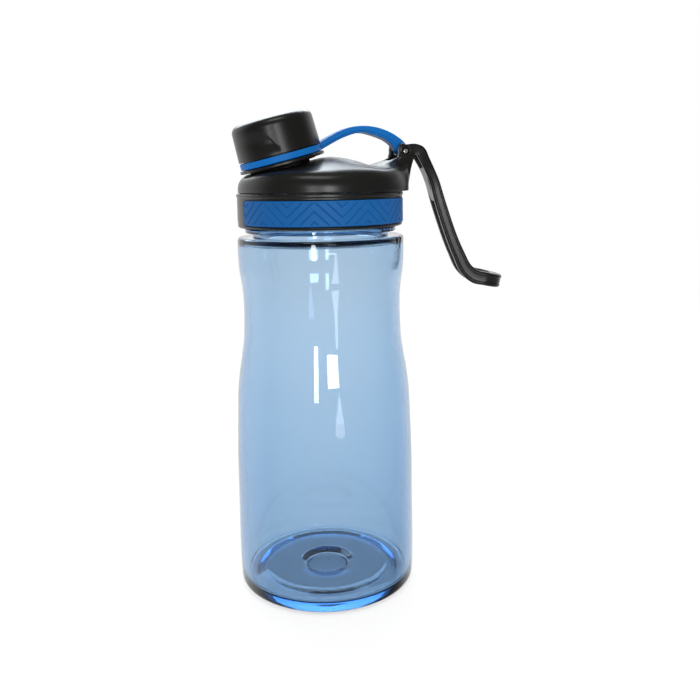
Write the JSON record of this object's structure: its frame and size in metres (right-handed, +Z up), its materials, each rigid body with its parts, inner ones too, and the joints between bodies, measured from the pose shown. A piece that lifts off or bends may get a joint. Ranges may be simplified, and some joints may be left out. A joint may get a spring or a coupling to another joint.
{
  "type": "sports water bottle",
  "caption": "Clear waisted sports bottle with a black screw lid, blue ribbed grip bands, a tethered spout cap and a hinged carry loop.",
  "frame": {"origin": "middle of the base, on the plane the bottle stands on, on the bottle's axis", "axes": "+Z up along the bottle's axis, -X towards the leaning spout, +X towards the lid's hinge and carry loop"},
  "size_m": [0.1374, 0.0882, 0.2351],
  "materials": {
    "clear_blue_plastic": "clear tinted copolyester, polished",
    "black_plastic": "satin moulded polypropylene",
    "band_rubber": "soft-touch overmould with chevron ribs",
    "strap_rubber": "satin flexible elastomer",
    "silicone": "matt silicone",
    "pin_steel": "bright nickel-plated steel"
  },
  "bodies": {
    "bottle": {"bottle_body": "clear_blue_plastic"},
    "neck_seal": {"neck_seal": "silicone"},
    "lid": {"lid_dome": "black_plastic", "grip_collar": "black_plastic", "grip_band_front": "band_rubber", "grip_band_rear": "band_rubber", "spout": "black_plastic", "hinge_pin": "pin_steel"},
    "tether": {"tether_strap": "strap_rubber"},
    "cap": {"cap_insert": "black_plastic", "cap_shell": "black_plastic", "cap_seal": "silicone"},
    "carry_loop": {"carry_loop": "black_plastic"}
  },
  "joints": [
    {"name": "seal_lift", "type": "slide", "parent": "bottle", "child": "neck_seal", "axis": [0, 0, 1], "range_m": [0, 0.0116]},
    {"name": "lid_turn", "type": "hinge", "parent": "neck_seal", "child": "lid", "pos_m": [0, 0, 0.195], "axis": [0, 0, 1], "range_deg": [0, 690]},
    {"name": "tether_swing", "type": "hinge", "parent": "lid", "child": "tether", "pos_m": [0.0422, 0, 0.2146], "axis": [0, 1, 0], "range_deg": [0, 150]},
    {"name": "cap_turn", "type": "hinge", "parent": "tether", "child": "cap", "pos_m": [-0.0194, 0, 0.2139], "axis": [-0.2453, 0, 0.9694], "range_deg": [0, 270]},
    {"name": "loop_swing", "type": "hinge", "parent": "lid", "child": "carry_loop", "pos_m": [0.0422, 0, 0.2146], "axis": [0, -1, 0], "range_deg": [0, 120]}
  ],
  "couplings": [
    {"joint": "seal_lift", "follows": "lid_turn", "m_per_rad": 0.00095493}
  ]
}
